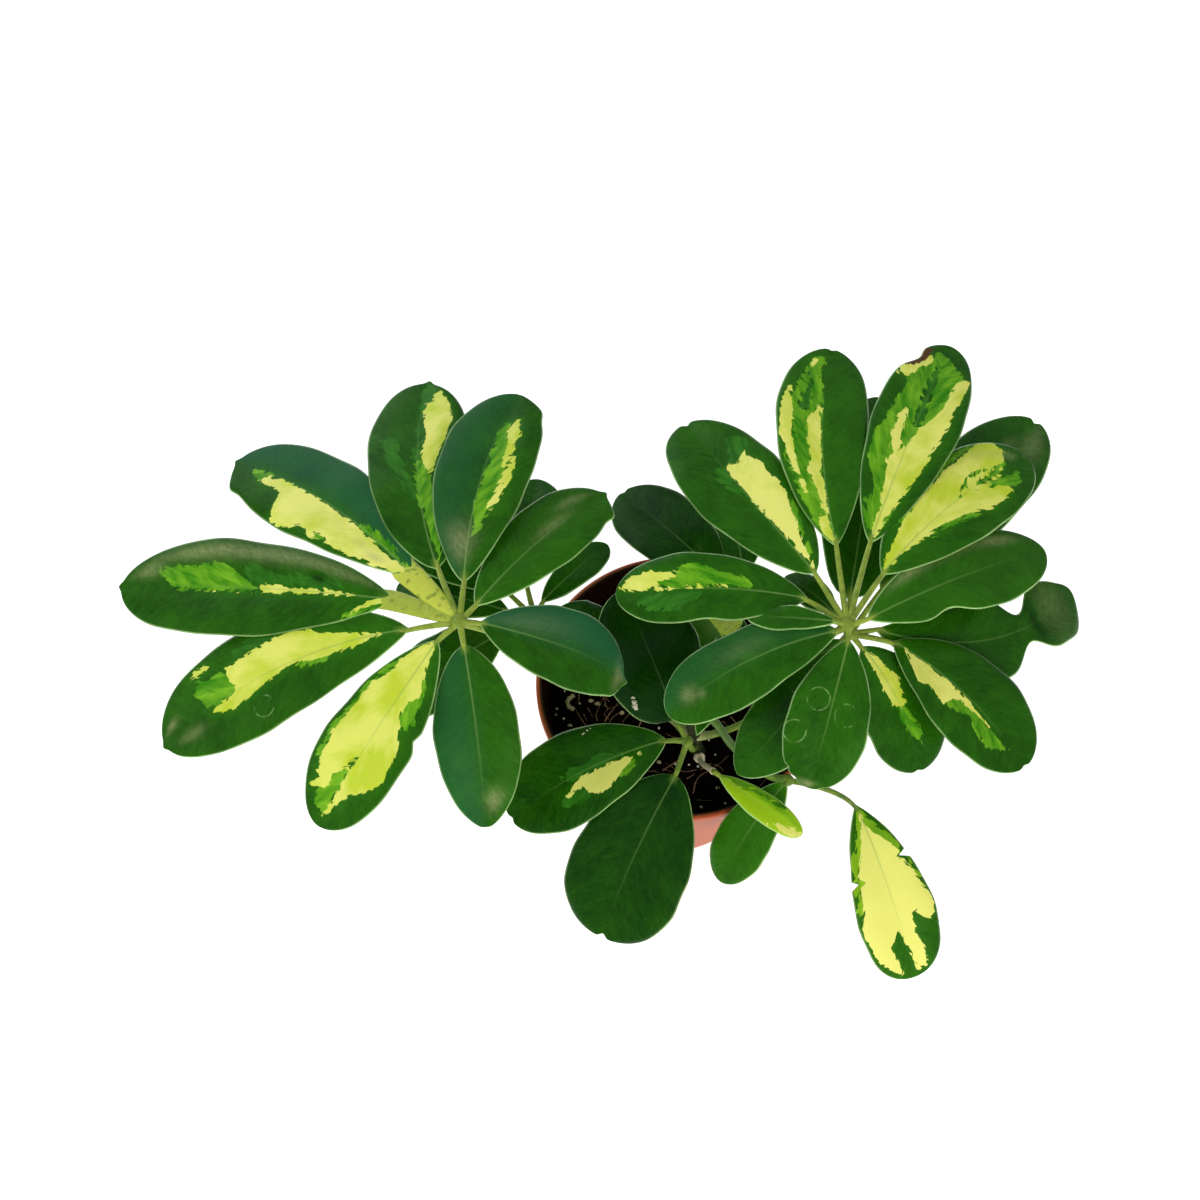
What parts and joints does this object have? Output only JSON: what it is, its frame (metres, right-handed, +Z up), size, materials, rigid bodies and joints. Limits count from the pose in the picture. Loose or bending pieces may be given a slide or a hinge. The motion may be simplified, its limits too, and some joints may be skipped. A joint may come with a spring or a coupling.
{
  "type": "potted umbrella plant",
  "caption": "Young variegated umbrella plant with spreading palmate leaves, standing in a thin terracotta-coloured plastic nursery pot.",
  "frame": {"origin": "middle of the pot's foot, on the surface that it stands on", "axes": "+Z up; X across the plant's widest spread; -Y towards the viewer of the picture"},
  "size_m": [0.3638, 0.2276, 0.1946],
  "materials": {
    "pot": "satin",
    "soil": "rough",
    "stem": "matte",
    "leaf": "satin"
  },
  "bodies": {
    "root": {"pot": "pot", "soil": "soil", "stem": "stem", "leaf_top_left": "leaf", "leaf_low_left": "leaf", "leaf_top_right": "leaf", "leaf_low_right": "leaf", "leaf_back": "leaf", "leaf_front_low": "leaf", "leaf_front_right": "leaf", "leaf_young": "leaf"}
  },
  "joints": []
}
